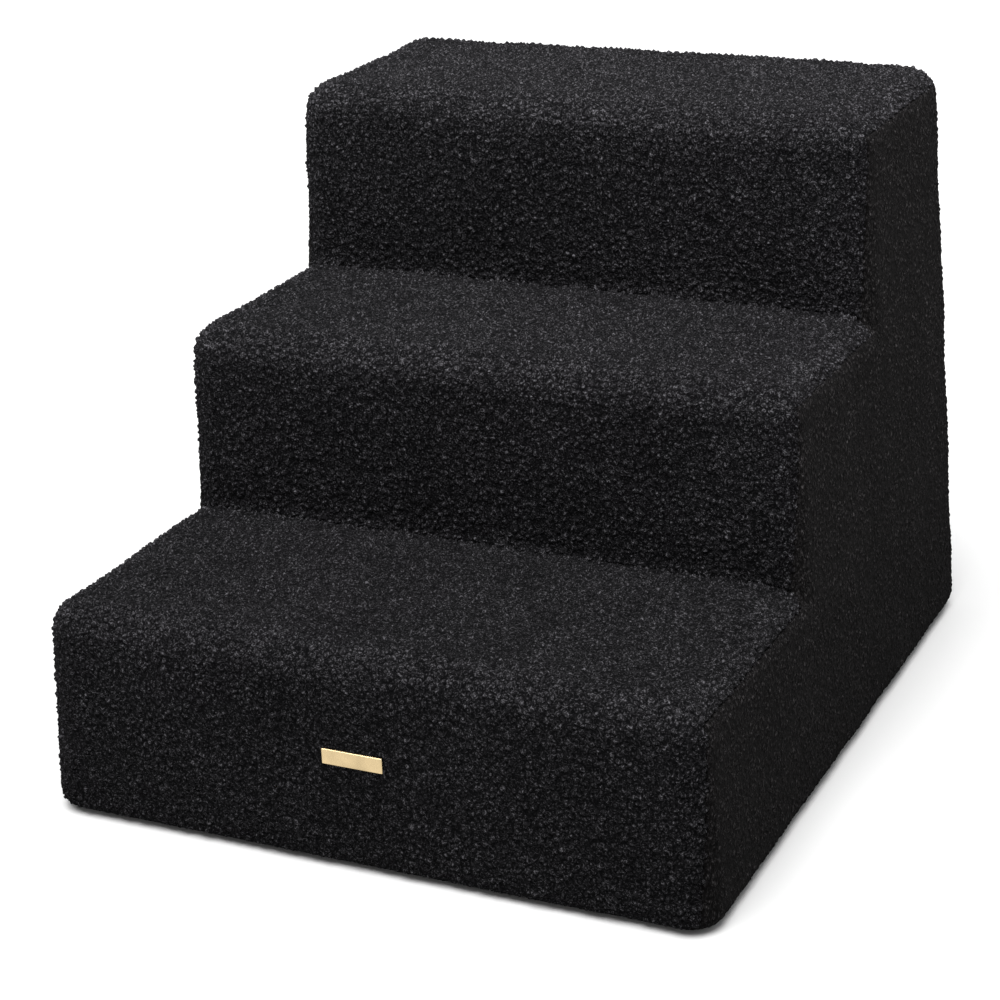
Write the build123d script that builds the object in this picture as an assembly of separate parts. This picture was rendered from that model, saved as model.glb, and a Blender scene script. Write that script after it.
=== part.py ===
from build123d import *

import math
import os

# Pet stairs: a block of foam with three steps under a removable cover of curly pile cloth.
# Millimetres. +X is to the right of a pet that looks up the stairs, -Y is the front, +Z is up.
# The origin is on the floor, under the middle of the footprint.

# The whole block, over the cover
TOP_WIDTH = 400.0
BASE_WIDTH = 447.0
DEPTH = 506.0
TOTAL_HEIGHT = 394.0
LOWER_TREAD_HEIGHT = 144.0
MIDDLE_TREAD_HEIGHT = 268.0
MIDDLE_RISER_SETBACK = 177.0
UPPER_RISER_SETBACK = 332.0
TREAD_CROWN = 1.5

# Roundings of the block, over the cover
NOSE_RADIUS = 22.0
BASE_RADIUS = 12.0

# Cover
COVER_THICKNESS = 6.0
BASE_CLOTH_THICKNESS = 1.5
COVER_EASE = 0.3
SEAM_LOW_SETBACK = 4.0
SEAM_HIGH_SETBACK = 15.0
SEAM_DROP = 14.0
SEAM_BACK_SETBACK = 10.0
BASE_SEAM_INSET = 20.0

# Rubber coat with raised dots, bonded under the base cloth
COAT_THICKNESS = 0.5
DOT_RADIUS = 4.0
DOT_HEIGHT = 1.0
DOT_PITCH = 38.0
DOT_MARGIN = 34.0

# Foam
PAD_THICKNESS = 25.0
FOAM_DENT_EASE = 0.5

# Metal nameplate, held by two prongs that are folded behind a backing plate
PLATE_WIDTH = 40.0
PLATE_HEIGHT = 10.0
PLATE_THICKNESS = 1.2
PLATE_PROUD = 0.7
PLATE_CENTRE_X = -2.0
PLATE_CENTRE_Z = 75.5
PLATE_CORNER_RADIUS = 0.6
PLATE_EDGE_CHAMFER = 0.35
PRONG_WIDTH = 5.0
PRONG_THICKNESS = 0.6
PRONG_SPACING = 26.0
PRONG_FOLD = 7.0
BACKING_WIDTH = 44.0
BACKING_HEIGHT = 13.0
BACKING_THICKNESS = 0.6
SLOT_EASE = 0.2

# Zipper across the lower back
ZIP_CENTRE_Z = 42.0
ZIP_SIDE_MARGIN = 19.0
ZIP_SLOT_HEIGHT = 10.0
TAPE_TUCK = 4.0
TAPE_WIDTH = 13.0
TAPE_THICKNESS = 0.5
PULL_ROOM = 26.0
COIL_WIDTH = 2.5
COIL_THICKNESS = 1.8
COIL_GAP = 1.0
STOP_LENGTH = 2.4
STOP_THICKNESS = 2.2
STOP_CLEARANCE = 0.4

# Zipper slider
SLIDER_LENGTH = 10.5
SLIDER_WIDTH = 8.6
SLIDER_PLATE = 1.0
SLIDER_NECK = 0.7
SLIDER_NECK_LENGTH = 4.0
SLIDER_FLANGE = 0.8
SLIDER_CLEARANCE = 0.2
SLIDER_CORNER_RADIUS = 2.0
BRIDGE_LENGTH = 7.0
BRIDGE_WIDTH = 2.2
BRIDGE_THICKNESS = 0.7
BRIDGE_POST = 1.4

# Pull that hangs in the slider's bridge
PULL_PIN_RADIUS = 0.5
PULL_PIN_CLEARANCE = 0.15
PULL_REACH = 23.0
PULL_THICKNESS = 1.0
PULL_ARM_WIDTH = 1.2
PULL_ARM_CLEARANCE = 0.4
PULL_TAB_START = 4.6
PULL_TIP_RADIUS = 2.0

# Care label in the top seam of the back
LABEL_WIDTH = 30.0
LABEL_DROP = 42.0
LABEL_THICKNESS = 0.5
LABEL_TUCK = 4.0
LABEL_SIDE_SETBACK = 81.0
LABEL_PROUD = 0.2

# One overrun for every cutting body, and the slack when edges are picked by place
OVERRUN = 30.0
PICK_SLACK = 0.01

FRONT = -DEPTH / 2
BACK = DEPTH / 2
CLOTH_BOTTOM = DOT_HEIGHT + COAT_THICKNESS
FOAM_BOTTOM = CLOTH_BOTTOM + BASE_CLOTH_THICKNESS + COVER_EASE
LEAN_SHARE = (BASE_WIDTH - TOP_WIDTH) / 2 / TOTAL_HEIGHT
LEAN_STRETCH = math.hypot(1.0, LEAN_SHARE)
STEP_NAMES = ("lower", "middle", "upper")
STEP_HEIGHTS = (LOWER_TREAD_HEIGHT, MIDDLE_TREAD_HEIGHT, TOTAL_HEIGHT)
RISERS = (FRONT, FRONT + MIDDLE_RISER_SETBACK, FRONT + UPPER_RISER_SETBACK)


def half_width(height, inset=0.0):
    """Half of the block's width at a height, drawn in square to the side by an inset."""
    return BASE_WIDTH / 2 - LEAN_SHARE * height - inset * LEAN_STRETCH


def box_between(low, high):
    """A plain box from its lowest corner to its highest corner."""
    size = [b - a for a, b in zip(low, high)]
    centre = [(a + b) / 2 for a, b in zip(low, high)]
    return Pos(*centre) * Box(*size)


def prism_along_x(points, low_x, high_x):
    """A flat outline of (y, z) points drawn out along X."""
    outline = Plane.YZ * Polygon(*points, align=None)
    return Pos(low_x, 0, 0) * extrude(outline, high_x - low_x, dir=(1, 0, 0))


def edges_where(solid, test):
    return [edge for edge in solid.edges() if test(edge.bounding_box())]


# Block

def step_block(riser_y, height, inset, floor_z):
    """One step as a block that runs to the back, with its front and tread edges rounded."""
    top_z = height - inset
    eave_z = top_z - TREAD_CROWN
    back_y = BACK - inset
    low_left = (-half_width(floor_z, inset), floor_z)
    low_right = (half_width(floor_z, inset), floor_z)
    eave_left = (-half_width(eave_z, inset), eave_z)
    eave_right = (half_width(eave_z, inset), eave_z)
    with BuildSketch(Plane.XZ) as section:
        with BuildLine():
            Line(low_left, low_right)
            Line(low_right, eave_right)
            ThreePointArc(eave_right, (0, top_z), eave_left)
            Line(eave_left, low_left)
        make_face()
    front_y = riser_y + inset
    block = Pos(0, back_y, 0) * extrude(section.sketch, back_y - front_y, dir=(0, -1, 0))
    rounded = edges_where(
        block,
        lambda box: box.center().Z > floor_z + PICK_SLACK and box.center().Y < back_y - PICK_SLACK,
    )
    return fillet(rounded, NOSE_RADIUS - inset)


def stair_block(inset, floor_z):
    """The whole stair form, every face drawn in by the same inset except the floor."""
    form = None
    for riser_y, height in zip(RISERS, STEP_HEIGHTS):
        block = step_block(riser_y, height, inset, floor_z)
        form = block if form is None else form + block
    back_y = BACK - inset
    rounded = edges_where(
        form,
        lambda box: box.min.Y > back_y - PICK_SLACK or box.max.Z < floor_z + PICK_SLACK,
    )
    return fillet(rounded, BASE_RADIUS - inset)


# Cover

def base_seam_reach():
    """Half of the base cloth's width, out to its seam with the side panels."""
    return half_width(CLOTH_BOTTOM, BASE_SEAM_INSET)


def side_region(side):
    """The space that a side panel takes: a stepped outline, out from just inside the side."""
    seam_z = [height - SEAM_DROP for height in STEP_HEIGHTS]
    below = CLOTH_BOTTOM - OVERRUN
    points = [(RISERS[0] + SEAM_LOW_SETBACK, below)]
    for riser_y, low_z, high_z in zip(RISERS, [CLOTH_BOTTOM] + seam_z, seam_z):
        points.append((riser_y + SEAM_LOW_SETBACK, low_z))
        points.append((riser_y + SEAM_HIGH_SETBACK, high_z))
    points.append((BACK - SEAM_BACK_SETBACK, seam_z[-1]))
    points.append((BACK - SEAM_BACK_SETBACK, below))
    outline = prism_along_x(points, -BASE_WIDTH, BASE_WIDTH)
    inner_low = (side * base_seam_reach(), below)
    inner_turn = (side * base_seam_reach(), FOAM_BOTTOM)
    inner_high = (side * half_width(TOTAL_HEIGHT + OVERRUN, BASE_SEAM_INSET), TOTAL_HEIGHT + OVERRUN)
    outer_high = (side * BASE_WIDTH, TOTAL_HEIGHT + OVERRUN)
    outer_low = (side * BASE_WIDTH, below)
    with BuildSketch(Plane.XZ) as beyond:
        with BuildLine():
            Polyline(inner_low, inner_turn, inner_high, outer_high, outer_low, close=True)
        make_face()
    slab = Pos(0, BACK + OVERRUN, 0) * extrude(beyond.sketch, DEPTH + 2 * OVERRUN, dir=(0, -1, 0))
    return outline & slab


def base_region():
    return box_between(
        (-base_seam_reach(), FRONT + BASE_SEAM_INSET, CLOTH_BOTTOM - OVERRUN),
        (base_seam_reach(), BACK - BASE_SEAM_INSET, FOAM_BOTTOM),
    )


def back_region():
    return box_between(
        (-BASE_WIDTH, BACK - BASE_SEAM_INSET, CLOTH_BOTTOM - OVERRUN),
        (BASE_WIDTH, BACK + OVERRUN, TOTAL_HEIGHT - SEAM_DROP),
    )


def above_mitre(step):
    """Everything on the far side of the mitre plane through the inner corner below a step."""
    corner_y = RISERS[step]
    corner_z = STEP_HEIGHTS[step - 1]
    reach = DEPTH + TOTAL_HEIGHT
    points = [
        (corner_y - reach, corner_z + reach),
        (corner_y + reach, corner_z - reach),
        (corner_y + reach, corner_z + reach),
    ]
    return prism_along_x(points, -BASE_WIDTH, BASE_WIDTH)


def cover_panels():
    """The cover's cloth panels, cut from one hollow form so that they meet face to face."""
    outer = stair_block(0.0, CLOTH_BOTTOM)
    hollow = stair_block(COVER_THICKNESS, CLOTH_BOTTOM + BASE_CLOTH_THICKNESS)
    cloth = outer - hollow
    panels = {"base_cover": cloth & base_region()}
    cloth = cloth - base_region()
    for name, side in (("side_cover_left", -1), ("side_cover_right", 1)):
        panels[name] = cloth & side_region(side)
        cloth = cloth - side_region(side)
    rear = cloth & back_region()
    cloth = cloth - back_region()
    above_zip = box_between(
        (-BASE_WIDTH, FRONT, ZIP_CENTRE_Z),
        (BASE_WIDTH, BACK + OVERRUN, TOTAL_HEIGHT + OVERRUN),
    )
    panels["back_cover_upper"] = rear & above_zip
    panels["back_cover_lower"] = rear - above_zip
    for step in (1, 2):
        beyond = above_mitre(step)
        panels["step_cover_" + STEP_NAMES[step - 1]] = cloth - beyond
        cloth = cloth & beyond
    panels["step_cover_" + STEP_NAMES[2]] = cloth
    return panels


# Grip sheet

def dot_places():
    reach_x = half_width(CLOTH_BOTTOM) - DOT_MARGIN
    reach_y = DEPTH / 2 - DOT_MARGIN
    count_x = int(reach_x // DOT_PITCH)
    count_y = int(reach_y // DOT_PITCH)
    for row in range(-count_y, count_y + 1):
        for column in range(-count_x, count_x + 1):
            yield column * DOT_PITCH, row * DOT_PITCH


def grip_sheet():
    """The coat under the base cloth and its dots, which are all that meets the floor."""
    sheet = box_between(
        (-base_seam_reach(), FRONT + BASE_SEAM_INSET, DOT_HEIGHT),
        (base_seam_reach(), BACK - BASE_SEAM_INSET, CLOTH_BOTTOM),
    )
    dots = []
    for x, y in dot_places():
        dots.append(Pos(x, y, DOT_HEIGHT / 2) * Cylinder(DOT_RADIUS, DOT_HEIGHT))
    return sheet.fuse(*dots)


# Foam

def foam_pieces():
    """Three slabs and the soft pad on each tread, all cut from the form inside the cover."""
    inset = COVER_THICKNESS + COVER_EASE
    core = stair_block(inset, FOAM_BOTTOM)
    pieces = {}
    slab_low = FOAM_BOTTOM - OVERRUN
    pad_backs = [riser_y + inset for riser_y in RISERS[1:]] + [BACK]
    slab_names = ("foam_base_slab", "foam_middle_slab", "foam_upper_slab")
    for name, slab_name, height, pad_back in zip(STEP_NAMES, slab_names, STEP_HEIGHTS, pad_backs):
        tread_z = height - inset
        pad_z = tread_z - PAD_THICKNESS
        slab_region = box_between((-BASE_WIDTH, FRONT, slab_low), (BASE_WIDTH, BACK, pad_z))
        pieces[slab_name] = core & slab_region
        pad_region = box_between(
            (-BASE_WIDTH, FRONT, pad_z),
            (BASE_WIDTH, pad_back, TOTAL_HEIGHT),
        )
        pieces["comfort_pad_" + name] = core & pad_region
        core = core - slab_region - pad_region
        slab_low = pad_z
    return pieces


# Nameplate

def plate_prong(x, fold_side):
    """A flat prong through the cloth, folded outwards behind the backing plate."""
    behind_cloth = FRONT + COVER_THICKNESS + BACKING_THICKNESS
    low_z = PLATE_CENTRE_Z - PRONG_WIDTH / 2
    high_z = PLATE_CENTRE_Z + PRONG_WIDTH / 2
    leg = box_between(
        (x - PRONG_THICKNESS / 2, FRONT - PLATE_PROUD + PLATE_THICKNESS / 2, low_z),
        (x + PRONG_THICKNESS / 2, behind_cloth + PRONG_THICKNESS, high_z),
    )
    tip_x = x + fold_side * PRONG_FOLD
    root_x = x - fold_side * PRONG_THICKNESS / 2
    fold = box_between(
        (min(root_x, tip_x), behind_cloth, low_z),
        (max(root_x, tip_x), behind_cloth + PRONG_THICKNESS, high_z),
    )
    return leg + fold


def nameplate():
    centre_y = FRONT - PLATE_PROUD + PLATE_THICKNESS / 2
    bar = Pos(PLATE_CENTRE_X, centre_y, PLATE_CENTRE_Z) * Box(PLATE_WIDTH, PLATE_THICKNESS, PLATE_HEIGHT)
    bar = fillet(bar.edges().filter_by(Axis.Y), PLATE_CORNER_RADIUS)
    bar = chamfer(bar.faces().sort_by(Axis.Y)[0].edges(), PLATE_EDGE_CHAMFER)
    for side in (-1, 1):
        bar = bar + plate_prong(PLATE_CENTRE_X + side * PRONG_SPACING / 2, -side)
    return bar


def prong_slots(low_y, high_y):
    slots = []
    for side in (-1, 1):
        x = PLATE_CENTRE_X + side * PRONG_SPACING / 2
        reach_x = PRONG_THICKNESS / 2 + SLOT_EASE
        reach_z = PRONG_WIDTH / 2 + SLOT_EASE
        slots.append(box_between(
            (x - reach_x, low_y, PLATE_CENTRE_Z - reach_z),
            (x + reach_x, high_y, PLATE_CENTRE_Z + reach_z),
        ))
    return slots


def nameplate_backing():
    low_y = FRONT + COVER_THICKNESS
    high_y = low_y + BACKING_THICKNESS
    plate = box_between(
        (PLATE_CENTRE_X - BACKING_WIDTH / 2, low_y, PLATE_CENTRE_Z - BACKING_HEIGHT / 2),
        (PLATE_CENTRE_X + BACKING_WIDTH / 2, high_y, PLATE_CENTRE_Z + BACKING_HEIGHT / 2),
    )
    for slot in prong_slots(low_y - SLOT_EASE, high_y + SLOT_EASE):
        plate = plate - slot
    return plate


def plate_seat():
    """The hollow that the bar presses into the pile, and the slots for its prongs."""
    back_y = FRONT - PLATE_PROUD + PLATE_THICKNESS
    reach_x = PLATE_WIDTH / 2 + SLOT_EASE
    reach_z = PLATE_HEIGHT / 2 + SLOT_EASE
    seat = box_between(
        (PLATE_CENTRE_X - reach_x, FRONT - OVERRUN, PLATE_CENTRE_Z - reach_z),
        (PLATE_CENTRE_X + reach_x, back_y, PLATE_CENTRE_Z + reach_z),
    )
    for slot in prong_slots(FRONT - OVERRUN, FRONT + COVER_THICKNESS + SLOT_EASE):
        seat = seat + slot
    return seat


def plate_dent():
    """The dent in the foam behind the folded prongs."""
    depth = BACKING_THICKNESS + PRONG_THICKNESS + FOAM_DENT_EASE
    reach_x = BACKING_WIDTH / 2 + FOAM_DENT_EASE
    reach_z = BACKING_HEIGHT / 2 + FOAM_DENT_EASE
    low_y = FRONT + COVER_THICKNESS
    return box_between(
        (PLATE_CENTRE_X - reach_x, low_y, PLATE_CENTRE_Z - reach_z),
        (PLATE_CENTRE_X + reach_x, low_y + depth, PLATE_CENTRE_Z + reach_z),
    )


# Zipper: every depth is measured forwards from the outer face of the back

ZIP_REACH = half_width(ZIP_CENTRE_Z) - ZIP_SIDE_MARGIN
TAPE_REACH = ZIP_REACH + TAPE_TUCK
COIL_REACH = ZIP_REACH - PULL_ROOM
TAPE_DEPTH = COVER_THICKNESS - TAPE_THICKNESS
COIL_DEPTH = TAPE_DEPTH - COIL_THICKNESS
TOP_PLATE_DEPTH = COIL_DEPTH - SLIDER_CLEARANCE - SLIDER_PLATE
LOW_PLATE_DEPTH = COVER_THICKNESS + SLIDER_CLEARANCE
SLIDER_START_X = SLIDER_LENGTH / 2 - COIL_REACH
PIN_DEPTH = TOP_PLATE_DEPTH - PULL_PIN_CLEARANCE - PULL_PIN_RADIUS
BRIDGE_DEPTH = PIN_DEPTH - PULL_PIN_RADIUS - PULL_PIN_CLEARANCE - BRIDGE_THICKNESS


def zip_box(low_x, high_x, low_z, high_z, low_depth, high_depth):
    """A box whose Z is counted from the zipper's centre line."""
    return box_between(
        (low_x, BACK - high_depth, ZIP_CENTRE_Z + low_z),
        (high_x, BACK - low_depth, ZIP_CENTRE_Z + high_z),
    )


def mirrored_band(low_z, high_z, side):
    return (low_z, high_z) if side > 0 else (-high_z, -low_z)


def zipper_slot():
    """The open slot between the back panels, and the seat of the tapes on their inner face."""
    slot = zip_box(
        -ZIP_REACH, ZIP_REACH, -ZIP_SLOT_HEIGHT / 2, ZIP_SLOT_HEIGHT / 2,
        -OVERRUN, COVER_THICKNESS + COVER_EASE,
    )
    tape_reach = TAPE_REACH + SLOT_EASE
    tape_side = COIL_GAP / 2 + TAPE_WIDTH + SLOT_EASE
    seat = zip_box(
        -tape_reach, tape_reach, -tape_side, tape_side,
        TAPE_DEPTH, COVER_THICKNESS + COVER_EASE,
    )
    return slot + seat


def zipper_tape(side):
    low_z, high_z = mirrored_band(COIL_GAP / 2, COIL_GAP / 2 + TAPE_WIDTH, side)
    return zip_box(-TAPE_REACH, TAPE_REACH, low_z, high_z, TAPE_DEPTH, COVER_THICKNESS)


def zipper_coil(side):
    low_z, high_z = mirrored_band(COIL_GAP / 2, COIL_GAP / 2 + COIL_WIDTH, side)
    strip = zip_box(-COIL_REACH, COIL_REACH, low_z, high_z, COIL_DEPTH, TAPE_DEPTH)
    outer_edges = edges_where(
        strip,
        lambda box: box.min.Y > BACK - COIL_DEPTH - PICK_SLACK and box.size.X > COIL_WIDTH,
    )
    return fillet(outer_edges, COIL_THICKNESS / 3)


def zipper_top_stops():
    """Two small clamped blocks, one on each tape, past the closed end of the coils."""
    low_x = -COIL_REACH - STOP_CLEARANCE - STOP_LENGTH
    stops = []
    for side in (-1, 1):
        low_z, high_z = mirrored_band(COIL_GAP / 2, COIL_GAP / 2 + COIL_WIDTH, side)
        stops.append(zip_box(
            low_x, low_x + STOP_LENGTH, low_z, high_z,
            TAPE_DEPTH - STOP_THICKNESS, TAPE_DEPTH,
        ))
    return Compound(children=stops)


def zipper_bottom_stop():
    """One wider block that ties both tapes together at the open end."""
    low_x = COIL_REACH + STOP_CLEARANCE
    reach_z = COIL_GAP / 2 + COIL_WIDTH
    return zip_box(
        low_x, low_x + STOP_LENGTH, -reach_z, reach_z,
        TAPE_DEPTH - STOP_THICKNESS, TAPE_DEPTH,
    )


def slider_plate(depth):
    half_length = SLIDER_LENGTH / 2
    half_side = SLIDER_WIDTH / 2
    plate = zip_box(
        SLIDER_START_X - half_length, SLIDER_START_X + half_length,
        -half_side, half_side, depth, depth + SLIDER_PLATE,
    )
    return fillet(plate.edges().filter_by(Axis.Y), SLIDER_CORNER_RADIUS)


def slider_flanges():
    """The turned-in side walls of both plates, with the gap for the tape between them."""
    walls = []
    straight = SLIDER_LENGTH / 2 - SLIDER_CORNER_RADIUS
    for side in (-1, 1):
        low_z, high_z = mirrored_band(SLIDER_WIDTH / 2 - SLIDER_FLANGE, SLIDER_WIDTH / 2, side)
        walls.append(zip_box(
            SLIDER_START_X - straight, SLIDER_START_X + straight, low_z, high_z,
            TOP_PLATE_DEPTH + SLIDER_PLATE / 2, TAPE_DEPTH - SLIDER_CLEARANCE,
        ))
    return walls


def slider_bridge():
    half_length = BRIDGE_LENGTH / 2
    half_side = BRIDGE_WIDTH / 2
    arch = zip_box(
        SLIDER_START_X - half_length, SLIDER_START_X + half_length,
        -half_side, half_side, BRIDGE_DEPTH, TOP_PLATE_DEPTH + SLIDER_PLATE / 2,
    )
    rounded = edges_where(
        arch,
        lambda box: box.min.Y > BACK - BRIDGE_DEPTH - PICK_SLACK and box.size.Z > PICK_SLACK,
    )
    arch = fillet(rounded, BRIDGE_THICKNESS)
    opening_half = half_length - BRIDGE_POST
    opening = zip_box(
        SLIDER_START_X - opening_half, SLIDER_START_X + opening_half,
        -SLIDER_WIDTH, SLIDER_WIDTH, BRIDGE_DEPTH + BRIDGE_THICKNESS, TOP_PLATE_DEPTH,
    )
    return arch - opening


def zipper_slider():
    body = slider_plate(TOP_PLATE_DEPTH) + slider_plate(LOW_PLATE_DEPTH)
    half_neck = SLIDER_NECK / 2
    front_x = SLIDER_START_X - SLIDER_LENGTH / 2 + SLIDER_FLANGE
    body = body + zip_box(
        front_x, front_x + SLIDER_NECK_LENGTH, -half_neck, half_neck,
        TOP_PLATE_DEPTH + SLIDER_PLATE / 2, LOW_PLATE_DEPTH + SLIDER_PLATE / 2,
    )
    for wall in slider_flanges():
        body = body + wall
    return body + slider_bridge()


def zipper_pull():
    """A flat tab with an eye; the bar that closes the eye turns under the slider's bridge."""
    inner_z = BRIDGE_WIDTH / 2 + PULL_ARM_CLEARANCE
    outer_z = inner_z + PULL_ARM_WIDTH
    low_depth = PIN_DEPTH - PULL_THICKNESS / 2
    high_depth = PIN_DEPTH + PULL_THICKNESS / 2
    tab = zip_box(
        SLIDER_START_X + PULL_TAB_START, SLIDER_START_X + PULL_REACH,
        -outer_z, outer_z, low_depth, high_depth,
    )
    tip_edges = edges_where(
        tab,
        lambda box: box.min.X > SLIDER_START_X + PULL_REACH - PICK_SLACK and box.size.Y > PICK_SLACK
        and box.size.Z < PICK_SLACK,
    )
    pull = fillet(tip_edges, PULL_TIP_RADIUS)
    for side in (-1, 1):
        low_z, high_z = mirrored_band(inner_z, outer_z, side)
        arm = zip_box(
            SLIDER_START_X, SLIDER_START_X + PULL_TAB_START,
            low_z, high_z, low_depth, high_depth,
        )
        knuckle_z = ZIP_CENTRE_Z + (low_z + high_z) / 2
        knuckle = Pos(SLIDER_START_X, BACK - PIN_DEPTH, knuckle_z) * Cylinder(
            PULL_THICKNESS / 2, PULL_ARM_WIDTH,
        )
        pull = pull + arm + knuckle
    pin = Pos(SLIDER_START_X, BACK - PIN_DEPTH, ZIP_CENTRE_Z) * Cylinder(PULL_PIN_RADIUS, 2 * outer_z)
    return pull + pin


def slider_channel():
    """The channel that the slider's inner plate presses into the foam along its travel."""
    half_side = SLIDER_WIDTH / 2 + FOAM_DENT_EASE
    return zip_box(
        -ZIP_REACH, ZIP_REACH, -half_side, half_side,
        COVER_THICKNESS, LOW_PLATE_DEPTH + SLIDER_PLATE + FOAM_DENT_EASE,
    )


# Care label

def care_label(ease=0.0):
    """A blank folded tag: its top is caught in the seam and it hangs down the back."""
    seam_z = TOTAL_HEIGHT - SEAM_DROP
    centre_x = half_width(seam_z) - LABEL_SIDE_SETBACK
    low_x = centre_x - LABEL_WIDTH / 2 - ease
    high_x = centre_x + LABEL_WIDTH / 2 + ease
    face_y = BACK + LABEL_PROUD
    hanging = box_between(
        (low_x, face_y - LABEL_THICKNESS - ease, seam_z - LABEL_DROP - ease),
        (high_x, face_y + ease, seam_z),
    )
    tucked = box_between(
        (low_x, BACK - LABEL_TUCK - ease, seam_z - LABEL_THICKNESS - ease),
        (high_x, face_y, seam_z),
    )
    return hanging + tucked


# Assembly

def build_parts():
    parts = cover_panels()
    parts["step_cover_lower"] = parts["step_cover_lower"] - plate_seat()
    slot = zipper_slot()
    for name in ("back_cover_upper", "back_cover_lower"):
        parts[name] = parts[name] - slot
    parts["back_cover_upper"] = parts["back_cover_upper"] - care_label(ease=SLOT_EASE)
    parts["grip_sheet"] = grip_sheet()
    parts.update(foam_pieces())
    parts["foam_base_slab"] = parts["foam_base_slab"] - plate_dent() - slider_channel()
    parts["nameplate"] = nameplate()
    parts["nameplate_backing"] = nameplate_backing()
    for name, side in (("upper", 1), ("lower", -1)):
        parts["zipper_tape_" + name] = zipper_tape(side)
        parts["zipper_coil_" + name] = zipper_coil(side)
    parts["zipper_top_stops"] = zipper_top_stops()
    parts["zipper_bottom_stop"] = zipper_bottom_stop()
    parts["zipper_slider"] = zipper_slider()
    parts["zipper_pull"] = zipper_pull()
    parts["care_label"] = care_label()
    return parts


def main():
    os.makedirs("parts", exist_ok=True)
    for name, shape in build_parts().items():
        export_step(shape, "parts/" + name + ".step")
    travel = 2 * COIL_REACH - SLIDER_LENGTH
    print("slider travel", round(travel, 3), "from x", round(SLIDER_START_X, 3))
    print("pull axis x, y", round(SLIDER_START_X, 3), round(BACK - PIN_DEPTH, 3), "z", ZIP_CENTRE_Z)


main()
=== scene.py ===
import math

import bmesh
import bpy
import numpy as np
from mathutils import Matrix, Vector, noise
from mathutils.bvhtree import BVHTree
from mathutils.kdtree import KDTree


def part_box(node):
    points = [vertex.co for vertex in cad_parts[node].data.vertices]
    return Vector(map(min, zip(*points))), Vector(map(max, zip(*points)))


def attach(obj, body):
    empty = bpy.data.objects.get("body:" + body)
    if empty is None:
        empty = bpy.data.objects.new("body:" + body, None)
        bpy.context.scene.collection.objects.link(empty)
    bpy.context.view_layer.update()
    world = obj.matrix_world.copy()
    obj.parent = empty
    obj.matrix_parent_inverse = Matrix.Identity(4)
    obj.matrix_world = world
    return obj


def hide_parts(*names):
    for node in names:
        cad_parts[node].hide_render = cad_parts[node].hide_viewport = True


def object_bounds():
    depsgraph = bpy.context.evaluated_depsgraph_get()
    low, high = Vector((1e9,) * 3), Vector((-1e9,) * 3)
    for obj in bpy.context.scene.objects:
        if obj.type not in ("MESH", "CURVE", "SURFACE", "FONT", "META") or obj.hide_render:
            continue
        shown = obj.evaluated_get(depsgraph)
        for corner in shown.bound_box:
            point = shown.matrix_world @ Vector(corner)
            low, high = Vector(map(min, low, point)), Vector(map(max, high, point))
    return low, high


# Pet stairs: a stepped foam block under a cover of black curly pile cloth.
# Metres, in the frame of the model

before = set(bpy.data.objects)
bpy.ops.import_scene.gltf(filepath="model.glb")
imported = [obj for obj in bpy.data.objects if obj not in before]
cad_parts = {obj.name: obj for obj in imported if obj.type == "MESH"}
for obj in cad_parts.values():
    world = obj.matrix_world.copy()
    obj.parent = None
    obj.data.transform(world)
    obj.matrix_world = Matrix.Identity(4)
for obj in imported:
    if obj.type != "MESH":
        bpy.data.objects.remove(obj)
cad_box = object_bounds()

# Camera, fitted to the outlines of the stairs. Metres and degrees
CAMERA_PLACE = Vector((0.65804, -1.41594, 0.76649))
CAMERA_AZIMUTH = 25.595
CAMERA_ELEVATION = 21.684
CAMERA_ROLL = -2.306
FOCAL_LENGTH_SHARE = 2.551838
SENSOR_WIDTH = 36.0

# Studio: how light its floor is, how far it reaches, and how strong the light from all round is
FLOOR_GREY = 0.47
FLOOR_REACH = 12.0
LIGHT_ALL_ROUND = 0.65

# Mesh of the pile cloth
PILE_MESH_STEP = 0.00115
PILE_TRIANGLES = 190000

# Counted out from the foam, the pile starts at its root and is full at its tip. What lies between
# the root and the rim's top is the edge of a panel, at its seams
PILE_ROOT = 0.0019
PILE_TIP = 0.0056
RIM_TOP = 0.0048

# The cloth swells and sinks a little over the foam
SWELL_SIZE = 0.045
SWELL_HEIGHT = 0.0010

# Vertices that lie closer than this are merged
MERGE_DISTANCE = 0.00001

# Long curls on the steps, and shorter ones on the sides and the back
STEP_CURLS = {
    "size": 0.0036, "height": 0.0019, "sunk_share": 0.60, "wander": 0.0020,
    "seam_lift": 0.0010, "corner_lift": 0.0014,
}
SIDE_CURLS = {
    "size": 0.0036, "height": 0.0009, "sunk_share": 0.60, "wander": 0.0017,
    "seam_lift": 0.0005, "corner_lift": 0.0,
}

# Form of a curl: how long the wanderings of its outline are, counted in curls, how steep its flank
# is, how fast its top falls, and how high its shoulder stands
WANDER_SPAN = 2.2
FLANK_STEEPNESS = 1.9
DOME_FALL = 1.1
SHOULDER_HEIGHT = 0.35

# The wanderings come from noise with its own seed, so that each run raises the same curls
WANDER_SEED = 1

# A large factor, so that curls side by side get tones that aren't alike
TONE_SPREAD = 977.0

# Where panels meet, the pile rises within these reaches, and most of all on top of its curls
SEAM_REACH = 0.0028
CORNER_REACH = 0.0036
LEAST_FILL = 0.6
FILL_BY_CURL = 0.5

# On a bend the curls stand further out and show more of their sides. Their mark is raised there
# too, so the noses, which face the light, also get painted highlights
LIFTED_ON_BENDS = 0.12
OPENED_AND_PAINTED_LIGHT_ON_BENDS = 0.60

# The pile spills over the base seam down to the floor
BASE_SPILL_HEIGHT = 0.014
BASE_SPILL = 0.0006
BASE_DROP = 0.0006
PILE_BOTTOM = 0.0003
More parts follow.
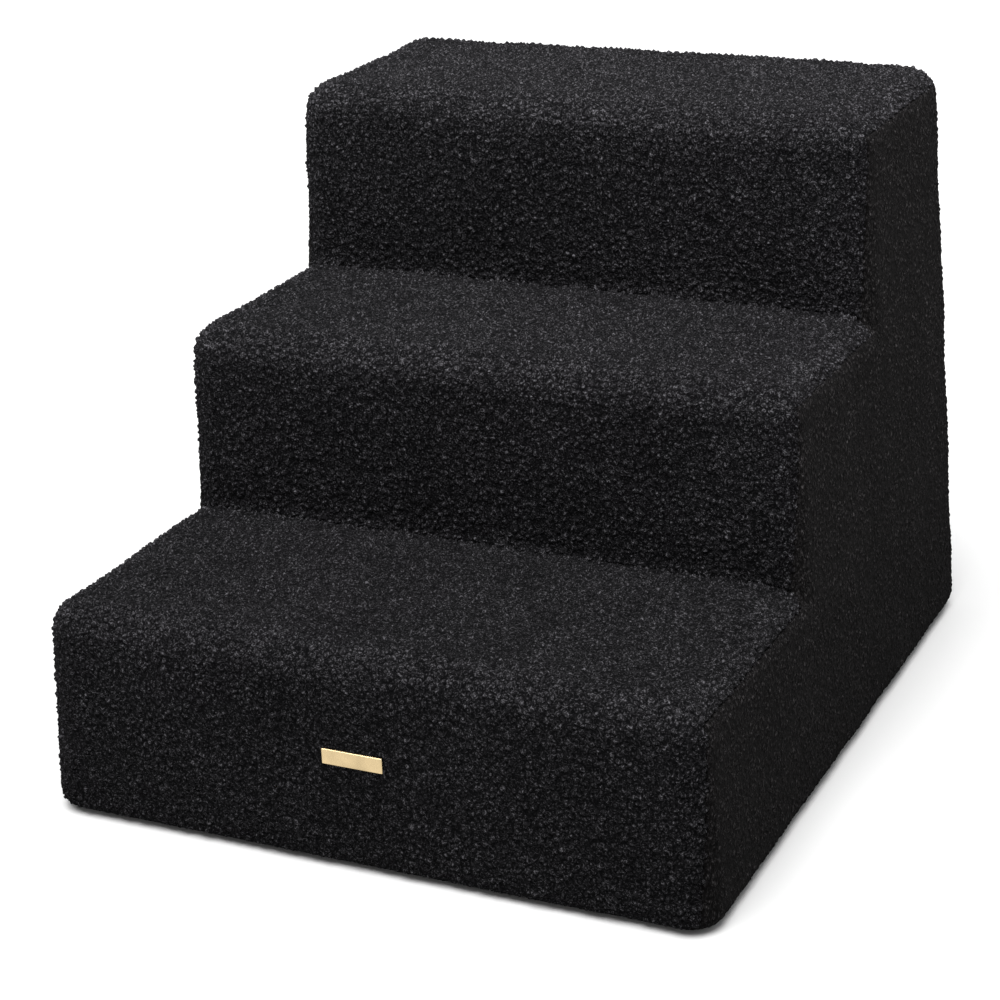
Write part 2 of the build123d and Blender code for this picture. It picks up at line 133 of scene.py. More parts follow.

# Yarn of the long and of the short pile. Sway is how far its strands stray, in metres, and a lay
# below one draws them out along that axis. Its colours go from the gaps over the flank to the tip:
# the near black in the gaps is painted shade, and the light tips are painted highlights
STEP_YARN = {
    "curls_per_metre": 300.0,
    "sway": 0.0020,
    "lay": (1.0, 1.0, 1.0),
    "painted_shade_to_highlight": ((0.0030, 0.0030, 0.0033), (0.0160, 0.0155, 0.0169), (0.0970, 0.0943, 0.1023)),
}
SIDE_YARN = {
    "curls_per_metre": 370.0,
    "sway": 0.0030,
    "lay": (1.0, 1.0, 0.45),
    "painted_shade_to_highlight": ((0.0034, 0.0032, 0.0032), (0.0119, 0.0111, 0.0113), (0.0580, 0.0542, 0.0554)),
}

# Strands that wind round each curl. Turns are in radians, and sways and breaks are counted in curls
STRAND_TURNS = 15.0
FIRST_TURN_SPREAD = 6.0
STRAND_SHARPNESS = 1.4
SWAYS_PER_CURL = 1.4
BREAKS_PER_CURL = 2.4
BREAK_LEVELS = (0.38, 0.60)
STRANDS_IN_GAPS = 0.45

# Relief of the pile, from strands, curls and fine fibres. It also picks the colour, from painted
# shade in the gaps to painted highlights on the strands and tips
STRAND_RELIEF = 0.70
CURL_RELIEF = 0.18
FIBRE_RELIEF = 0.14
FIBRES_PER_METRE = 2200.0
SHADE_PLACES = (0.10, 0.34, 0.80)
RELIEF_DEPTH = 0.0012

# Darkest and lightest tone from curl to curl and in soft patches. The last pair is painted shade
# and
# light, from the floor to the top tread: the pile is painted darker near the floor and lighter at
# the top
CURL_TONES = (0.82, 1.22)
PATCH_TONES = (0.72, 1.28)
PATCHES_PER_METRE = 22.0
PAINTED_SHADE_BY_HEIGHT = (0.55, 1.13)

# Zipper. Each half is drawn towards the other by CLOSED_BY, and a coil leaves SPARE_TURNS free,
# because it is shifted by a quarter of a turn
COIL_PITCH = 0.0014
COIL_WIRE_RADIUS = 0.00027
COIL_TURN_STEPS = 12
COIL_WIRE_SIDES = 6
STITCH_PITCH = 0.0030
STITCH_LENGTH = 0.0021
STITCH_WIDTH = 0.00045
STITCH_FROM_COIL = 0.0016
CLOSED_BY = 0.0004
SPARE_TURNS = 0.5

# Care label: how far it stands out, how soon it turns down, and how it curls and twists at its end
LABEL_STANDS_OUT = 0.0022
LABEL_TURN = 14.0
LABEL_CURL = 0.0016
LABEL_TWIST = 0.8
LABEL_THICKNESS = 0.0005

FOAM_SLABS = ("foam_base_slab", "foam_middle_slab", "foam_upper_slab")
COMFORT_PADS = ("comfort_pad_lower", "comfort_pad_middle", "comfort_pad_upper")
STEP_PANELS = ("step_cover_lower", "step_cover_middle", "step_cover_upper")
PLAIN_PANELS = ("side_cover_left", "side_cover_right", "back_cover_upper", "back_cover_lower")


# Shader parts

def new_material(name):
    material = bpy.data.materials.new(name)
    material.use_nodes = True
    tree = material.node_tree
    return material, tree, tree.nodes["Principled BSDF"]


def connect(tree, socket, value):
    """Gives a socket a value, or the output of another node."""
    if isinstance(value, bpy.types.NodeSocket):
        tree.links.new(value, socket)
    else:
        socket.default_value = value


def shader_node(tree, kind, inputs, **settings):
    node = tree.nodes.new(kind)
    for name, value in settings.items():
        setattr(node, name, value)
    for name, value in inputs.items():
        connect(tree, node.inputs[name], value)
    return node


def calculate(tree, operation, *values):
    inputs = dict(enumerate(values))
    return shader_node(tree, "ShaderNodeMath", inputs, operation=operation).outputs[0]


def object_place(tree, scale=(1.0, 1.0, 1.0)):
    """Object coordinates. A scale below one draws a pattern out along that axis."""
    place = tree.nodes.new("ShaderNodeTexCoord").outputs["Object"]
    return shader_node(tree, "ShaderNodeMapping", {"Vector": place, "Scale": scale}).outputs[0]


def soft_noise(tree, place, scale, detail=2.0, roughness=0.5):
    inputs = {"Vector": place, "Scale": scale, "Detail": detail, "Roughness": roughness}
    return shader_node(tree, "ShaderNodeTexNoise", inputs).outputs["Fac"]


def share_of_height(tree):
    """0 at the floor and 1 at the top tread."""
    place = tree.nodes.new("ShaderNodeTexCoord").outputs["Object"]
    height = shader_node(tree, "ShaderNodeSeparateXYZ", {0: place}).outputs["Z"]
    return calculate(tree, "DIVIDE", height, cad_box[1][2])


def colours_along(tree, source, stops):
    ramp = tree.nodes.new("ShaderNodeValToRGB")
    elements = ramp.color_ramp.elements
    while len(elements) < len(stops):
        elements.new(0.5)
    for element, (place, colour) in zip(elements, stops):
        element.position = place
        element.color = (*colour, 1.0)
    tree.links.new(source, ramp.inputs[0])
    return ramp.outputs[0]


def tint(tree, colour, source, low, high):
    """A colour made darker and lighter along a source, between two factors."""
    factor_inputs = {"Value": source, "To Min": low, "To Max": high}
    factor = shader_node(tree, "ShaderNodeMapRange", factor_inputs)
    tinted = shader_node(tree, "ShaderNodeVectorMath", {0: colour}, operation="SCALE")
    tree.links.new(factor.outputs[0], tinted.inputs["Scale"])
    return tinted.outputs[0]


def mesh_mark(tree, name):
    """A number that raise_pile kept for each vertex."""
    return shader_node(tree, "ShaderNodeAttribute", {}, attribute_name=name).outputs["Fac"]


def raise_surface(tree, shader, height, distance):
    inputs = {"Strength": 1.0, "Distance": distance, "Height": height}
    tree.links.new(shader_node(tree, "ShaderNodeBump", inputs).outputs[0], shader.inputs["Normal"])


# Materials

def wound_strands(tree, place, curls_per_metre, sway):
    """Thin rings round the middle of each curl, bent out of true and broken here and there."""
    sway_inputs = {"Vector": place, "Scale": SWAYS_PER_CURL * curls_per_metre, "Detail": 2.0}
    stray = shader_node(tree, "ShaderNodeTexNoise", sway_inputs).outputs["Color"]
    bent_inputs = {0: stray, 1: (sway, sway, sway), 2: place}
    bent = shader_node(tree, "ShaderNodeVectorMath", bent_inputs, operation="MULTIPLY_ADD")
    loops_inputs = {"Vector": bent.outputs[0], "Scale": curls_per_metre}
    loops = shader_node(tree, "ShaderNodeTexVoronoi", loops_inputs)
    loop_colour = loops.outputs["Color"]
    each_loop = shader_node(tree, "ShaderNodeSeparateColor", {0: loop_colour}).outputs[0]
    first_turn = calculate(tree, "MULTIPLY", each_loop, FIRST_TURN_SPREAD)
    turns = calculate(tree, "MULTIPLY_ADD", loops.outputs["Distance"], STRAND_TURNS, first_turn)
    wave = calculate(tree, "MULTIPLY_ADD", calculate(tree, "SINE", turns), 0.5, 0.5)
    breaks = soft_noise(tree, place, BREAKS_PER_CURL * curls_per_metre, detail=1.0)
    broken, whole = BREAK_LEVELS
    breaks_inputs = {"Value": breaks, "From Min": broken, "From Max": whole}
    unbroken = shader_node(tree, "ShaderNodeMapRange", breaks_inputs).outputs[0]
    return calculate(tree, "MULTIPLY", calculate(tree, "POWER", wave, STRAND_SHARPNESS), unbroken)


def curly_pile(name, yarn):
    """Looped black yarn with painted light: painted shade, nearly black, in the gaps, and thin grey
    strands painted as highlights on the curls.
    """
    material, tree, shader = new_material(name)
    place = object_place(tree, yarn["lay"])
    strands = wound_strands(tree, place, yarn["curls_per_metre"], yarn["sway"])
    curl = mesh_mark(tree, "curl")
    # Fewer strands show in the gaps, which deepens their painted shade as well as lowering their
    # relief
    shown = calculate(tree, "MULTIPLY_ADD", curl, 1.0 - STRANDS_IN_GAPS, STRANDS_IN_GAPS)
    on_curl = calculate(tree, "MULTIPLY", strands, shown)
    fibres = calculate(tree, "MULTIPLY", soft_noise(tree, place, FIBRES_PER_METRE), FIBRE_RELIEF)
    height = calculate(tree, "MULTIPLY_ADD", on_curl, STRAND_RELIEF, fibres)
    height = calculate(tree, "MULTIPLY_ADD", curl, CURL_RELIEF, height)
    # Painted shade and highlight: the colour follows the relief, near black in the gaps and light
    # on the strands and tips
    colour = colours_along(tree, height, list(zip(SHADE_PLACES, yarn["painted_shade_to_highlight"])))
    colour = tint(tree, colour, mesh_mark(tree, "curl_tone"), *CURL_TONES)
    patches = soft_noise(tree, place, PATCHES_PER_METRE, detail=3.0)
    colour = tint(tree, colour, patches, *PATCH_TONES)
    # Painted shade and light: darker towards the floor, lighter towards the top tread
    colour = tint(tree, colour, share_of_height(tree), *PAINTED_SHADE_BY_HEIGHT)
    tree.links.new(colour, shader.inputs["Base Color"])
    shader.inputs["Roughness"].default_value = 0.70
    shader.inputs["Specular IOR Level"].default_value = 0.0
    shader.inputs["Sheen Weight"].default_value = 0.012
    shader.inputs["Sheen Roughness"].default_value = 0.50
    raise_surface(tree, shader, height, RELIEF_DEPTH)
    return material


def foam_block(name, colour):
    """Open-cell foam: fine round pores and a slightly uneven tone."""
    material, tree, shader = new_material(name)
    place = object_place(tree)
    pores = shader_node(tree, "ShaderNodeTexVoronoi", {"Vector": place, "Scale": 900.0})
    tone = tint(tree, colour, soft_noise(tree, place, scale=18.0), low=0.88, high=1.08)
    tree.links.new(tone, shader.inputs["Base Color"])
    shader.inputs["Roughness"].default_value = 0.95
    shader.inputs["Specular IOR Level"].default_value = 0.2
    raise_surface(tree, shader, pores.outputs["Distance"], distance=0.0006)
    return material


def woven_cloth(name, colour, threads_per_metre, relief, roughness=0.85):
    """A plain weave: two crossing rows of threads, with uneven yarn."""
    material, tree, shader = new_material(name)
    across = object_place(tree)
    split = shader_node(tree, "ShaderNodeSeparateXYZ", {0: across})
    turn = threads_per_metre * 2.0 * math.pi
    warp = calculate(tree, "SINE", calculate(tree, "MULTIPLY", split.outputs["X"], turn))
    upright = calculate(tree, "ADD", split.outputs["Z"], split.outputs["Y"])
    weft = calculate(tree, "SINE", calculate(tree, "MULTIPLY", upright, turn))
    weave = calculate(tree, "MULTIPLY", warp, weft)
    weave_relief = calculate(tree, "MULTIPLY", weave, 0.35)
    slub = soft_noise(tree, across, scale=700.0, detail=3.0)
    height = calculate(tree, "ADD", weave_relief, slub)
    tone = tint(tree, colour, height, low=0.55, high=1.35)
    tree.links.new(tone, shader.inputs["Base Color"])
    shader.inputs["Roughness"].default_value = roughness
    shader.inputs["Specular IOR Level"].default_value = 0.20
    shader.inputs["Sheen Weight"].default_value = 0.05
    raise_surface(tree, shader, height, relief)
    return material


def brushed_metal(name, colour, roughness, brush_scale):
    """Metal brushed along X, with a few fine scratches and soft stains."""
    material, tree, shader = new_material(name)
    brushed = object_place(tree, (0.03, 1.0, 1.0))
    lines = soft_noise(tree, brushed, brush_scale, detail=3.0, roughness=0.6)
    stains = soft_noise(tree, object_place(tree), scale=75.0, detail=3.0)
    tone = tint(tree, colour, stains, low=0.62, high=1.28)
    tree.links.new(tone, shader.inputs["Base Color"])
    shader.inputs["Metallic"].default_value = 1.0
    rough_inputs = {"Value": lines, "To Min": roughness - 0.10, "To Max": roughness + 0.14}
    rough = shader_node(tree, "ShaderNodeMapRange", rough_inputs).outputs[0]
    tree.links.new(rough, shader.inputs["Roughness"])
    raise_surface(tree, shader, lines, distance=0.00003)
    return material


def black_lacquer(name):
    """Black lacquered metal, rubbed bare and brighter in small spots."""
    material, tree, shader = new_material(name)
    place = object_place(tree)
    wear = soft_noise(tree, place, scale=900.0, detail=3.0, roughness=0.65)
    worn_through = 0.66
    rubbed = calculate(tree, "GREATER_THAN", wear, worn_through)
    lacquer = (0.012, 0.012, 0.013)
    bare_metal = (0.09, 0.09, 0.095)
    colour = colours_along(tree, rubbed, [(0.0, lacquer), (1.0, bare_metal)])
    tree.links.new(colour, shader.inputs["Base Color"])
    shader.inputs["Roughness"].default_value = 0.34
    shader.inputs["Coat Weight"].default_value = 0.4
    raise_surface(tree, shader, soft_noise(tree, place, scale=1500.0), distance=0.00004)
    return material


def coil_nylon():
    material, tree, shader = new_material("black_nylon")
    streaks = soft_noise(tree, object_place(tree), scale=1800.0)
    tone = tint(tree, (0.014, 0.014, 0.015), streaks, low=0.7, high=1.4)
    tree.links.new(tone, shader.inputs["Base Color"])
    shader.inputs["Roughness"].default_value = 0.38
    raise_surface(tree, shader, streaks, distance=0.00004)
    return material


def grip_rubber():
    """Matte rubber with a fine pebbled skin and a little dust."""
    material, tree, shader = new_material("grip_rubber")
    place = object_place(tree)
    pebbles = shader_node(tree, "ShaderNodeTexVoronoi", {"Vector": place, "Scale": 1100.0})
    dust = soft_noise(tree, place, scale=30.0, detail=4.0, roughness=0.6)
    tone = tint(tree, (0.024, 0.024, 0.025), dust, low=0.6, high=1.9)
    tree.links.new(tone, shader.inputs["Base Color"])
    shader.inputs["Roughness"].default_value = 0.72
    raise_surface(tree, shader, pebbles.outputs["Distance"], distance=0.0002)
    return material


def satin_ribbon():
    """White satin with fine threads across and a soft sheen."""
    material, tree, shader = new_material("white_satin")
    threads = soft_noise(tree, object_place(tree, (0.15, 1.0, 1.0)), scale=2400.0)
    tone = tint(tree, (0.62, 0.61, 0.58), threads, low=0.80, high=1.10)
    tree.links.new(tone, shader.inputs["Base Color"])
    shader.inputs["Roughness"].default_value = 0.42
    shader.inputs["Sheen Weight"].default_value = 0.1
    raise_surface(tree, shader, threads, distance=0.00008)
    return material


# Mesh helpers

def new_piece(name, bm):
    mesh = bpy.data.meshes.new(name)
    bm.to_mesh(mesh)
    bm.free()
    piece = bpy.data.objects.new(name, mesh)
    bpy.context.scene.collection.objects.link(piece)
    return piece


def copy_of_node(node, name):
    """A copy of a node's mesh with its loose triangles merged."""
    bm = bmesh.new()
    bm.from_mesh(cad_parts[node].data)
    bmesh.ops.remove_doubles(bm, verts=bm.verts, dist=MERGE_DISTANCE)
    return new_piece(name, bm)


def finish_modifiers(piece):
    """Turns a piece's modifiers into plain mesh."""
    seen = piece.evaluated_get(bpy.context.evaluated_depsgraph_get())
    finished = bpy.data.meshes.new_from_object(seen)
    piece.modifiers.clear()
    old = piece.data
    piece.data = finished
    bpy.data.meshes.remove(old)


def smooth_shade(piece):
    piece.data.polygons.foreach_set("use_smooth", np.ones(len(piece.data.polygons), dtype=bool))


def dress(piece, material, slot, *nodes, body="stairs"):
    """Gives a piece its material, the body that it moves with and the nodes that it stands for."""
    piece.data.materials.clear()
    piece.data.materials.append(material)
    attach(piece, body)
    if nodes:
        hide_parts(*nodes)


def turn_mesh(bm, degrees, axis):
    turn = Matrix.Rotation(math.radians(degrees), 3, axis)
    bmesh.ops.rotate(bm, cent=(0.0, 0.0, 0.0), matrix=turn, verts=bm.verts)


def middle(low, high):
    return (Vector(low) + Vector(high)) / 2.0


# Pile panels

def foam_surface():
    """The foam as one search tree, to tell the outer face of a panel from the face on the foam."""
    points = []
    faces = []
    for name in FOAM_SLABS + COMFORT_PADS:
        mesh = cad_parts[name].data
        start = len(points)
        points += [vertex.co.copy() for vertex in mesh.vertices]
        faces += [[start + index for index in polygon.vertices] for polygon in mesh.polygons]
    return BVHTree.FromPolygons(points, faces)


def even_mesh(piece, step):
    """Remeshes a piece into small faces of even size."""
    remesh = piece.modifiers.new("even_faces", "REMESH")
    remesh.mode = "VOXEL"
    remesh.voxel_size = step
    finish_modifiers(piece)


def thin_hidden_side(piece, most_triangles):
    """Thins the mesh, most of all where it is flat, as on the side that lies on the foam."""
    thin = piece.modifiers.new("thin", "DECIMATE")
    thin.ratio = min(1.0, most_triangles / (2 * len(piece.data.polygons)))
    finish_modifiers(piece)


def smooth_step(values, low, high):
    share = np.clip((values - low) / (high - low), 0.0, 1.0)
    return share * share * (3.0 - 2.0 * share)


def curl_at(place, curls):
    """The pile's height at a place, from 0 in a gap to 1 on top of a curl, and that curl's tone."""
    wander = noise.noise_vector(place / (WANDER_SPAN * curls["size"])) * curls["wander"]
    distances, centres = noise.voronoi((place + wander) / curls["size"])
    flank = min(1.0, FLANK_STEEPNESS * (distances[1] - distances[0]))
    dome = max(0.0, 1.0 - DOME_FALL * distances[0] ** 2)
    height = flank * (SHOULDER_HEIGHT + (1.0 - SHOULDER_HEIGHT) * dome)
    return height, abs(noise.cell(centres[0] * TONE_SPREAD))


def read_vertices(mesh):
    """The places and the normals of a mesh's vertices, a row for each vertex."""
    places = np.empty(3 * len(mesh.vertices))
    normals = np.empty(3 * len(mesh.vertices))
    mesh.vertices.foreach_get("co", places)
    mesh.vertex_normals.foreach_get("vector", normals)
    return places.reshape(-1, 3), normals.reshape(-1, 3)


def search_tree(points, picked):
    tree = KDTree(len(picked))
    for index in picked:
        tree.insert(points[index], int(index))
    tree.balance()
    return tree


def mark_mesh(mesh, name, values):
    """Keeps one number for each vertex, for the material to read."""
    mark = mesh.attributes.new(name, "FLOAT", "POINT")
    mark.data.foreach_set("value", values.astype(np.float32))


def by_inner_corner(places):
    """How near places lie to where a riser stands on a tread, up to 1 in the corner itself."""
    near = np.zeros(len(places))
    for below, above in zip(STEP_PANELS, STEP_PANELS[1:]):
        away_y = places[:, 1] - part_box(above)[0][1]
        away_z = places[:, 2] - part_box(below)[1][2]
        near = np.maximum(near, np.exp(-(away_y ** 2 + away_z ** 2) / CORNER_REACH ** 2))
    return near


def raise_pile(piece, foam, curls):
    """Lifts curls out of a panel's outer face, and lets the pile swell and spill over its seams."""
    mesh = piece.data
    places, normals = read_vertices(mesh)
    points = [Vector(place) for place in places]
    depth = np.array([foam.find_nearest(point)[3] for point in points])
    outer = smooth_step(depth, PILE_ROOT, PILE_TIP)
    rim_tree = search_tree(points, np.flatnonzero((depth > PILE_ROOT) & (depth < RIM_TOP)))
    curl = np.zeros(len(points))
    tone = np.zeros(len(points))
    swell = np.zeros(len(points))
    seam = np.ones(len(points))
    for index in np.flatnonzero(outer > 0.0):
        point = points[index]
        curl[index], tone[index] = curl_at(point, curls)
        swell[index] = noise.noise(point / SWELL_SIZE)
        seam[index] = rim_tree.find(point)[2]
    by_seam = np.exp(-((seam / SEAM_REACH) ** 2))
    by_base = 1.0 - smooth_step(places[:, 2], 0.0, BASE_SPILL_HEIGHT)
    upward = normals[:, 2]
    outward = np.hypot(normals[:, 0], normals[:, 1])
    # 1 where a face leans at 45 degrees, as on the noses
    bend = np.clip(2.0 * upward * outward, 0.0, 1.0)
    fill = LEAST_FILL + FILL_BY_CURL * curl
    lift = (curl - curls["sunk_share"]) * curls["height"] * (1.0 + LIFTED_ON_BENDS * bend)
    lift += swell * SWELL_HEIGHT
    lift += by_seam * (1.0 - by_base) * curls["seam_lift"] * fill
    in_corner = by_inner_corner(places) * (1.0 - normals[:, 0] ** 2)
    lift += in_corner * curls["corner_lift"] * fill
    lift += by_base * BASE_SPILL
    places += normals * (lift * outer)[:, None]
    places[:, 2] = np.maximum(places[:, 2] - by_base * outer * BASE_DROP, PILE_BOTTOM)
    mesh.vertices.foreach_set("co", places.ravel())
    # On the noses the curl mark is raised, partly as opened pile and partly as a painted highlight
    mark_mesh(mesh, "curl", curl * outer * (1.0 + OPENED_AND_PAINTED_LIGHT_ON_BENDS * bend))
    mark_mesh(mesh, "curl_tone", tone)
    mesh.update()


def pile_panel(node, foam, material, curls):
    piece = copy_of_node(node, node + "_pile")
    even_mesh(piece, PILE_MESH_STEP)
    raise_pile(piece, foam, curls)
    thin_hidden_side(piece, PILE_TRIANGLES)
    smooth_shade(piece)
    dress(piece, material, "curly_pile", node)


# Hidden soft pieces

def foam_piece(node, material, slot):
    """A foam piece, its triangles joined to whole faces where they lie flat."""
    piece = copy_of_node(node, node + "_cut")
    bm = bmesh.new()
    bm.from_mesh(piece.data)
    bmesh.ops.dissolve_limit(bm, angle_limit=math.radians(2.0), verts=bm.verts, edges=bm.edges)
    bm.to_mesh(piece.data)
    bm.free()
    dress(piece, material, slot, node)


def base_cloth(material):
    low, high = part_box("base_cover")
    bm = bmesh.new()
    bmesh.ops.create_grid(bm, x_segments=70, y_segments=80, size=0.5)
    bmesh.ops.scale(bm, vec=(high[0] - low[0], high[1] - low[1], 1.0), verts=bm.verts)
    bmesh.ops.solidify(bm, geom=bm.faces, thickness=high[2] - low[2])
    bmesh.ops.translate(bm, vec=(*middle(low, high)[:2], low[2]), verts=bm.verts)
    bmesh.ops.recalc_face_normals(bm, faces=bm.faces)
    shift = low[2] - min(vertex.co.z for vertex in bm.verts)
    bmesh.ops.translate(bm, vec=(0.0, 0.0, shift), verts=bm.verts)
    piece = new_piece("base_cloth", bm)
    dress(piece, material, "base_cloth", "base_cover")


# Zipper

def closed_box(node):
    """A zipper node's box, drawn out towards the other half of the zipper."""
    low, high = (Vector(corner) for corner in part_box(node))
    if node.endswith("upper"):
        low.z -= CLOSED_BY
    else:
        high.z += CLOSED_BY
    return low, high


def zipper_tape(node, material):
    """A woven tape: a grid turned to face the back, given its thickness."""
    low, high = closed_box(node)
    length = high[0] - low[0]
    width = high[2] - low[2]
    bm = bmesh.new()
    bmesh.ops.create_grid(bm, x_segments=190, y_segments=12, size=0.5)
    bmesh.ops.scale(bm, vec=(length, width, 1.0), verts=bm.verts)
    bmesh.ops.solidify(bm, geom=bm.faces, thickness=high[1] - low[1])
    turn_mesh(bm, -90.0, "X")
    bmesh.ops.recalc_face_normals(bm, faces=bm.faces)
    shift_y = high[1] - max(vertex.co.y for vertex in bm.verts)
    centre = middle(low, high)
    bmesh.ops.translate(bm, vec=(centre.x, shift_y, centre.z), verts=bm.verts)
    piece = new_piece(node + "_woven", bm)
    dress(piece, material, "zipper_tape", node)


def zipper_coil(node, material):
    """A helix of wire pressed into an oval, whose loops fall between those of the other coil."""
    low, high = closed_box(node)
    depth_radius = (high[1] - low[1]) / 2.0 - COIL_WIRE_RADIUS
    height_radius = (high[2] - low[2]) / 2.0 - COIL_WIRE_RADIUS
    turns = int((high[0] - low[0] - 2.0 * COIL_WIRE_RADIUS) / COIL_PITCH - SPARE_TURNS)
    bm = bmesh.new()
    bmesh.ops.create_circle(bm, segments=COIL_WIRE_SIDES, radius=COIL_WIRE_RADIUS)
    bmesh.ops.translate(bm, vec=(0.0, depth_radius, 0.0), verts=bm.verts)
    bmesh.ops.spin(
        bm, geom=bm.verts[:] + bm.edges[:], cent=(0.0, 0.0, 0.0), axis=(1.0, 0.0, 0.0),
        dvec=(COIL_PITCH / COIL_TURN_STEPS, 0.0, 0.0), angle=2.0 * math.pi, steps=COIL_TURN_STEPS,
    )
    bmesh.ops.scale(bm, vec=(1.0, 1.0, height_radius / depth_radius), verts=bm.verts)
    bmesh.ops.recalc_face_normals(bm, faces=bm.faces)
    centre = middle(low, high)
    quarter_turn = COIL_PITCH / 4.0
    shift = quarter_turn if node.endswith("lower") else -quarter_turn
    start = centre.x - turns * COIL_PITCH / 2.0 + shift
    bmesh.ops.translate(bm, vec=(start, centre.y, centre.z), verts=bm.verts)
    piece = new_piece(node + "_loops", bm)
    row = piece.modifiers.new("row", "ARRAY")
    row.count = turns
    row.use_relative_offset = False
    row.use_constant_offset = True
    row.constant_offset_displace = (COIL_PITCH, 0.0, 0.0)
    row.use_merge_vertices = True
    row.merge_threshold = MERGE_DISTANCE
    finish_modifiers(piece)
    close_ends(piece)
    smooth_shade(piece)
    dress(piece, material, "zipper_coil", node)


def close_ends(piece):
    bm = bmesh.new()
    bm.from_mesh(piece.data)
    open_edges = [edge for edge in bm.edges if edge.is_boundary]
    bmesh.ops.holes_fill(bm, edges=open_edges)
    bmesh.ops.recalc_face_normals(bm, faces=bm.faces)
    bm.to_mesh(piece.data)
    bm.free()


def stitch_row(tape, coil, side, material):
    """Short thread stitches along a tape, beside its coil."""
    tape_low, tape_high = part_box(tape)
    coil_low, coil_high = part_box(coil)
    coil_edge = coil_high[2] if side > 0 else coil_low[2]
    length = tape_high[0] - tape_low[0]
    count = int(length / STITCH_PITCH)
    bm = bmesh.new()
    bmesh.ops.create_uvsphere(bm, u_segments=6, v_segments=4, radius=0.5)
    turn_mesh(bm, 90.0, "Y")
    bmesh.ops.scale(bm, vec=(STITCH_LENGTH, STITCH_WIDTH, STITCH_WIDTH), verts=bm.verts)
    start = (tape_low[0] + tape_high[0] - (count - 1) * STITCH_PITCH) / 2.0
    place = (start, tape_high[1], coil_edge + side * STITCH_FROM_COIL)
    bmesh.ops.translate(bm, vec=place, verts=bm.verts)
    piece = new_piece(tape.replace("tape", "stitches"), bm)
    row = piece.modifiers.new("row", "ARRAY")
    row.count = count
    row.use_relative_offset = False
    row.use_constant_offset = True
    row.constant_offset_displace = (STITCH_PITCH, 0.0, 0.0)
    finish_modifiers(piece)
    smooth_shade(piece)
    dress(piece, material, "zipper_tape")


# Care label

def care_label(material):
    """A blank satin tag that leaves the top seam, turns down and curls away at its lower end."""
    low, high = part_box("care_label")
    width = high[0] - low[0]
    drop = high[2] - low[2]
    bm = bmesh.new()
    bmesh.ops.create_grid(bm, x_segments=10, y_segments=24, size=0.5)
    bmesh.ops.scale(bm, vec=(width, drop, 1.0), verts=bm.verts)
    turn_mesh(bm, 90.0, "X")
    for vertex in bm.verts:
        along = 0.5 - vertex.co.z / drop
        across = vertex.co.x / width
        turned_out = 1.0 - math.exp(-along * LABEL_TURN)
        curled_out = along ** 3 * LABEL_CURL * (1.0 + LABEL_TWIST * across)
        vertex.co.y = turned_out * LABEL_STANDS_OUT + curled_out
    bmesh.ops.solidify(bm, geom=bm.faces, thickness=LABEL_THICKNESS)
    bmesh.ops.recalc_face_normals(bm, faces=bm.faces)
    centre = middle(low, high)
    place = (centre.x, cad_box[1][1] - LABEL_THICKNESS, centre.z)
    bmesh.ops.translate(bm, vec=place, verts=bm.verts)
    piece = new_piece("care_label_satin", bm)
    smooth_shade(piece)
    dress(piece, material, "label_satin", "care_label")


# Hard pieces that keep their own shape

def finish_node(node, material):
    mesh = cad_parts[node].data
    for index in range(len(mesh.materials)):
        mesh.materials[index] = material
    if not mesh.materials:
        mesh.materials.append(material)


# Studio

def camera_axes():
    """The camera's directions to the right, up and back, with its roll."""
    azimuth = math.radians(CAMERA_AZIMUTH)
    elevation = math.radians(CAMERA_ELEVATION)
    roll = math.radians(CAMERA_ROLL)
    backward = Vector((
        math.sin(azimuth) * math.cos(elevation),
        -math.cos(azimuth) * math.cos(elevation),
        math.sin(elevation),
    ))
    level_right = Vector((0.0, 0.0, 1.0)).cross(backward).normalized()
    level_up = backward.cross(level_right)
    right = math.cos(roll) * level_right + math.sin(roll) * level_up
    up = math.cos(roll) * level_up - math.sin(roll) * level_right
    return right, up, backward


def place_camera():
    lens = bpy.data.cameras.new("camera")
    lens.sensor_width = SENSOR_WIDTH
    lens.lens = FOCAL_LENGTH_SHARE * SENSOR_WIDTH
    camera = bpy.data.objects.new("camera", lens)
    bpy.context.scene.collection.objects.link(camera)
    turn = Matrix(camera_axes()).transposed().to_4x4()
    camera.matrix_world = Matrix.Translation(CAMERA_PLACE) @ turn
    bpy.context.scene.camera = camera


def lay_floor():
    material, _, shader = new_material("studio_floor")
    shader.inputs["Base Color"].default_value = (FLOOR_GREY, FLOOR_GREY, FLOOR_GREY, 1.0)
    shader.inputs["Roughness"].default_value = 0.9
    bm = bmesh.new()
    bmesh.ops.create_grid(bm, x_segments=1, y_segments=1, size=FLOOR_REACH)
    floor = new_piece("studio_floor", bm)
    floor.data.materials.append(material)


def soft_sun(name, direction, strength, spread):
    """Even light over the whole floor, as from a large softbox: spread is its width in degrees."""
    light = bpy.data.lights.new(name, "SUN")
    light.energy = strength
    light.angle = math.radians(spread)
    lamp = bpy.data.objects.new(name, light)
    bpy.context.scene.collection.objects.link(lamp)
    lamp.matrix_world = Vector(direction).to_track_quat("Z", "Y").to_matrix().to_4x4()


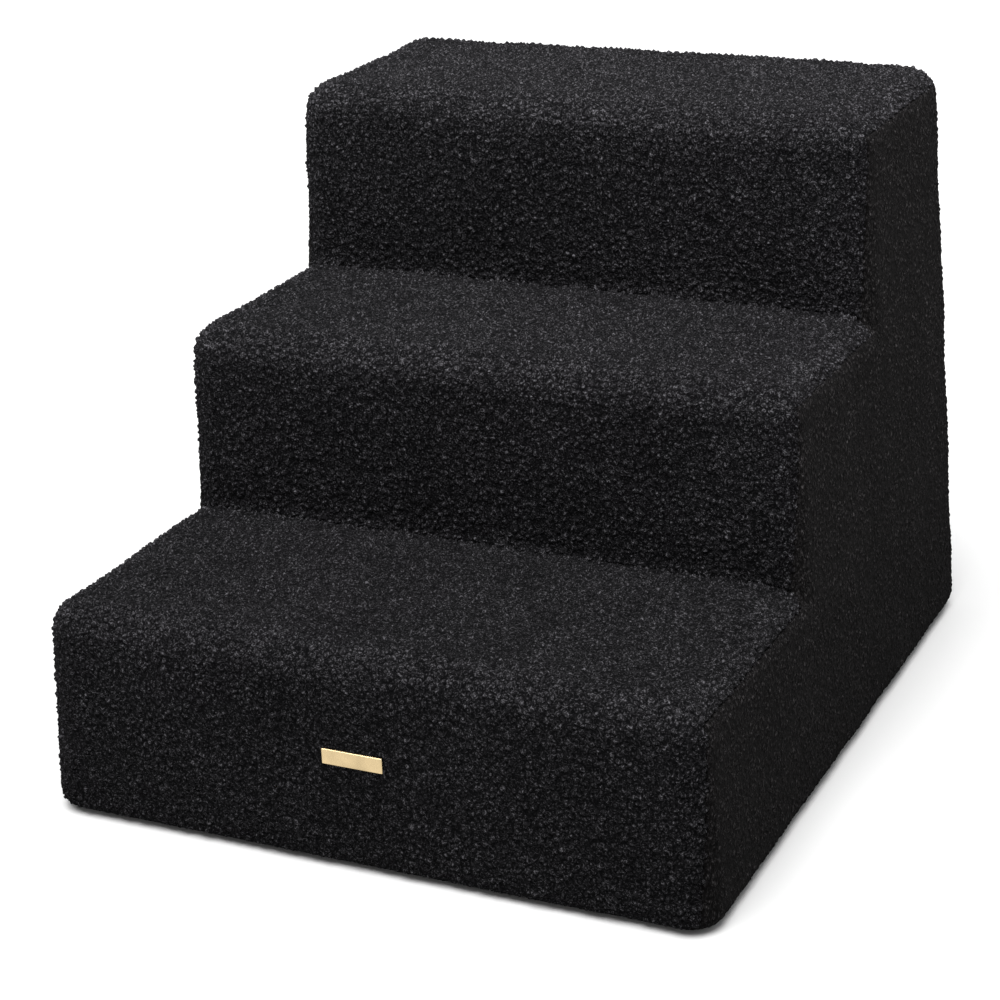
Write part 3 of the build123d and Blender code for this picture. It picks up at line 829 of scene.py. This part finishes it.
def light_studio():
    world = bpy.data.worlds.new("studio")
    world.use_nodes = True
    background = world.node_tree.nodes["Background"]
    background.inputs["Color"].default_value = (1.0, 1.0, 1.0, 1.0)
    background.inputs["Strength"].default_value = LIGHT_ALL_ROUND
    bpy.context.scene.world = world
    soft_sun("top_softbox", direction=(0.02, -0.34, 1.0), strength=6.5, spread=46.0)
    soft_sun("back_fill", direction=(0.10, 1.0, 0.28), strength=1.4, spread=60.0)
    bpy.context.scene.view_settings.view_transform = "Standard"


# Everything together

def cover_block():
    noise.seed_set(WANDER_SEED)
    foam = foam_surface()
    step_pile = curly_pile("curly_black_pile", STEP_YARN)
    side_pile = curly_pile("short_black_pile", SIDE_YARN)
    for node in STEP_PANELS:
        pile_panel(node, foam, step_pile, STEP_CURLS)
    for node in PLAIN_PANELS:
        pile_panel(node, foam, side_pile, SIDE_CURLS)
    base_cloth(woven_cloth(
        "black_base_cloth", (0.018, 0.018, 0.019), threads_per_metre=900.0, relief=0.00025,
    ))


def fill_block():
    firm = foam_block("firm_foam", (0.72, 0.68, 0.55))
    soft = foam_block("soft_foam", (0.50, 0.58, 0.68))
    for node in FOAM_SLABS:
        foam_piece(node, firm, "foam")
    for node in COMFORT_PADS:
        foam_piece(node, soft, "soft_foam")


def make_zipper():
    tape = woven_cloth(
        "black_zipper_tape", (0.012, 0.012, 0.013), threads_per_metre=1800.0, relief=0.00012,
    )
    thread = woven_cloth(
        "black_thread", (0.016, 0.016, 0.017), threads_per_metre=3000.0, relief=0.00006,
        roughness=0.55,
    )
    nylon = coil_nylon()
    lacquer = black_lacquer("black_lacquered_metal")
    for name, side in (("upper", 1.0), ("lower", -1.0)):
        zipper_tape("zipper_tape_" + name, tape)
        zipper_coil("zipper_coil_" + name, nylon)
        stitch_row("zipper_tape_" + name, "zipper_coil_" + name, side, thread)
    for node in ("zipper_top_stops", "zipper_bottom_stop", "zipper_slider", "zipper_pull"):
        finish_node(node, lacquer)


cover_block()
fill_block()
make_zipper()
care_label(satin_ribbon())
finish_node("grip_sheet", grip_rubber())
brass = brushed_metal("brushed_brass", (0.66, 0.51, 0.29), roughness=0.34, brush_scale=1600.0)
steel = brushed_metal("brushed_steel", (0.56, 0.57, 0.58), roughness=0.40, brush_scale=1200.0)
finish_node("nameplate", brass)
finish_node("nameplate_backing", steel)
place_camera()
lay_floor()
light_studio()
